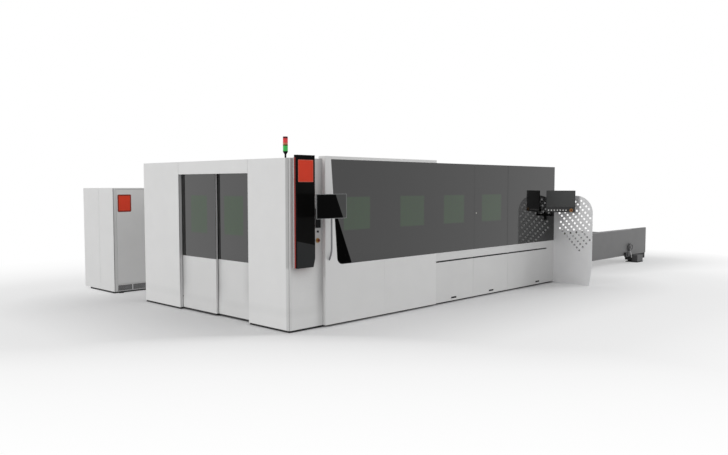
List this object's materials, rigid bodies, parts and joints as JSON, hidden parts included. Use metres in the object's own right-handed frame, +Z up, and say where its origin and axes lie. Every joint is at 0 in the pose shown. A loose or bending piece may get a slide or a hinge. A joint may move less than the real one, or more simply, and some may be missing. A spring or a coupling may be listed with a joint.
{
  "type": "fiber laser cutting machine",
  "caption": "Enclosed flatbed fiber laser cutting machine with telescopic and sliding doors, exchange table, guard screen, two terminals and a separate source cabinet.",
  "frame": {"origin": "on the floor, under the middle of the machine's plan box (housing, exchange table, guard screen and source cabinet)", "axes": "+X along the operator side towards the exchange table, +Y across the machine away from the operator side, +Z up"},
  "size_m": [12.95, 7.161, 2.71],
  "materials": {
    "housing_white": "fine satin powder coat",
    "frame_grey": "satin paint",
    "kick_black": "matt paint",
    "foot_rubber": "matt",
    "pane_dark": "high gloss, near black",
    "filter_green": "high gloss, green tint",
    "rail_steel": "ground",
    "handle_steel": "satin",
    "stele_red": "satin powder coat",
    "stele_black": "high gloss",
    "tower_black": "fine grain",
    "tower_lens": "translucent lens",
    "guard_grey": "satin powder coat",
    "table_grey": "satin paint",
    "drive_dark": "satin paint",
    "cabinet_white": "fine satin powder coat",
    "collar_yellow": "satin",
    "bracket_black": "matt paint",
    "case_black": "fine grain",
    "screen_black": "glass front",
    "key_white": "satin",
    "estop_red": "satin",
    "switch_black": "fine grain",
    "gantry_white": "satin paint",
    "head_steel": "anodised",
    "pallet_steel": "mill scale and spatter"
  },
  "bodies": {
    "machine": {"levelling_feet": "foot_rubber", "housing_frame": "frame_grey", "kick_plates": "kick_black", "corner_column_panel": "housing_white", "left_column_panel": "housing_white", "door_header_panel": "housing_white", "roof_panels": "housing_white", "rear_wall_panels": "housing_white", "end_wall_panels": "housing_white", "front_panes": "pane_dark", "front_pane_window": "filter_green", "lower_covers": "housing_white", "door_rails": "rail_steel", "stele_housing": "stele_red", "stele_front": "stele_black", "tower_base": "tower_black", "tower_lenses": "tower_lens", "guard_screen": "guard_grey", "shuttle_frame": "table_grey", "shuttle_drive": "drive_dark", "bed_frame": "frame_grey", "cabinet_housing": "cabinet_white", "cabinet_front_panel": "cabinet_white", "switch_collars": "collar_yellow", "terminal_1_bracket": "bracket_black", "terminal_2_arm": "bracket_black"},
    "leaf_1": {"leaf_1_frame": "housing_white", "leaf_1_glass": "pane_dark", "leaf_1_window": "filter_green"},
    "leaf_2": {"leaf_2_frame": "housing_white", "leaf_2_glass": "pane_dark", "leaf_2_window": "filter_green"},
    "side_door": {"side_door_frame": "housing_white", "side_door_glass": "pane_dark", "side_door_windows": "filter_green", "side_door_handle": "handle_steel"},
    "service_door": {"service_door_pane": "pane_dark", "service_door_window": "filter_green"},
    "end_door": {"end_door": "frame_grey"},
    "gantry": {"gantry_bridge": "gantry_white"},
    "carriage": {"gantry_carriage": "gantry_white"},
    "head": {"cutting_head": "head_steel"},
    "upper_pallet": {"pallet_upper": "pallet_steel"},
    "lower_pallet": {"pallet_lower": "pallet_steel"},
    "terminal_1_swing": {"terminal_1_arm": "bracket_black"},
    "terminal_1": {"terminal_1_housing": "case_black", "terminal_1_screen": "screen_black"},
    "terminal_2": {"terminal_2_housing": "case_black", "terminal_2_screen": "screen_black", "terminal_2_keypad": "case_black"},
    "estop_1": {"estop_head_1": "estop_red"},
    "estop_2": {"estop_head_2": "estop_red"},
    "switch": {"rotary_switch": "switch_black"},
    "button_1": {"push_button_1": "key_white"},
    "button_2": {"push_button_2": "key_white"},
    "button_3": {"push_button_3": "key_white"},
    "button_4": {"push_button_4": "key_white"},
    "button_5": {"push_button_5": "key_white"},
    "button_6": {"push_button_6": "key_white"},
    "button_7": {"push_button_7": "key_white"}
  },
  "joints": [
    {"name": "leaf_2_slide", "type": "slide", "parent": "machine", "child": "leaf_2", "axis": [0, 1, 0], "range_m": [0, 1.84]},
    {"name": "leaf_1_slide", "type": "slide", "parent": "machine", "child": "leaf_1", "axis": [0, 1, 0], "range_m": [0, 0.92]},
    {"name": "side_door_slide", "type": "slide", "parent": "machine", "child": "side_door", "axis": [1, 0, 0], "range_m": [0, 2.45]},
    {"name": "service_door_hinge", "type": "hinge", "parent": "machine", "child": "service_door", "pos_m": [-1.101, -2.7305, 1.6], "axis": [0, 0, -1], "range_deg": [-110, 0]},
    {"name": "end_door_lift", "type": "slide", "parent": "machine", "child": "end_door", "axis": [0, 0, 1], "range_m": [-0.92, 0]},
    {"name": "gantry_slide", "type": "slide", "parent": "machine", "child": "gantry", "axis": [1, 0, 0], "range_m": [0, 5.1]},
    {"name": "carriage_slide", "type": "slide", "parent": "gantry", "child": "carriage", "axis": [0, 1, 0], "range_m": [0, 2.5]},
    {"name": "head_slide", "type": "slide", "parent": "carriage", "child": "head", "axis": [0, 0, -1], "range_m": [0, 0.09]},
    {"name": "upper_pallet_slide", "type": "slide", "parent": "machine", "child": "upper_pallet", "axis": [1, 0, 0], "range_m": [0, 6.08]},
    {"name": "lower_pallet_slide", "type": "slide", "parent": "machine", "child": "lower_pallet", "axis": [1, 0, 0], "range_m": [-6.08, 0]},
    {"name": "terminal_1_arm_swing", "type": "hinge", "parent": "machine", "child": "terminal_1_swing", "pos_m": [-5.995, -2.8045, 1.64], "axis": [0, 0, 1], "range_deg": [-20, 25]},
    {"name": "terminal_1_swivel", "type": "hinge", "parent": "terminal_1_swing", "child": "terminal_1", "pos_m": [-6.0265, -2.9875, 1.675], "axis": [0, 0, 1], "range_deg": [-15, 25]},
    {"name": "terminal_2_swivel", "type": "hinge", "parent": "machine", "child": "terminal_2", "pos_m": [0.28566, -2.90068, 1.48], "axis": [0, 0, 1], "range_deg": [-10, 15]},
    {"name": "estop_1_press", "type": "slide", "parent": "machine", "child": "estop_1", "axis": [0, 1, 0], "range_m": [0, 0.005]},
    {"name": "estop_2_press", "type": "slide", "parent": "terminal_2", "child": "estop_2", "axis": [0.8415, 0.5402, 0], "range_m": [0, 0.005]},
    {"name": "rotary_switch_turn", "type": "hinge", "parent": "machine", "child": "switch", "pos_m": [-5.945, -2.7145, 1.375], "axis": [0, -1, 0], "range_deg": [-45, 45]},
    {"name": "button_1_press", "type": "slide", "parent": "terminal_2", "child": "button_1", "axis": [0.8415, 0.5402, 0], "range_m": [0, 0.003], "stiffness_N_per_m": 800},
    {"name": "button_2_press", "type": "slide", "parent": "terminal_2", "child": "button_2", "axis": [0.8415, 0.5402, 0], "range_m": [0, 0.003], "stiffness_N_per_m": 800},
    {"name": "button_3_press", "type": "slide", "parent": "terminal_2", "child": "button_3", "axis": [0.8415, 0.5402, 0], "range_m": [0, 0.003], "stiffness_N_per_m": 800},
    {"name": "button_4_press", "type": "slide", "parent": "terminal_2", "child": "button_4", "axis": [0.8415, 0.5402, 0], "range_m": [0, 0.003], "stiffness_N_per_m": 800},
    {"name": "button_5_press", "type": "slide", "parent": "terminal_2", "child": "button_5", "axis": [0.8415, 0.5402, 0], "range_m": [0, 0.003], "stiffness_N_per_m": 800},
    {"name": "button_6_press", "type": "slide", "parent": "terminal_2", "child": "button_6", "axis": [0.8415, 0.5402, 0], "range_m": [0, 0.003], "stiffness_N_per_m": 800},
    {"name": "button_7_press", "type": "slide", "parent": "terminal_2", "child": "button_7", "axis": [0.8415, 0.5402, 0], "range_m": [0, 0.003], "stiffness_N_per_m": 800}
  ],
  "couplings": [
    {"joint": "leaf_1_slide", "follows": "leaf_2_slide", "ratio": 0.5}
  ]
}
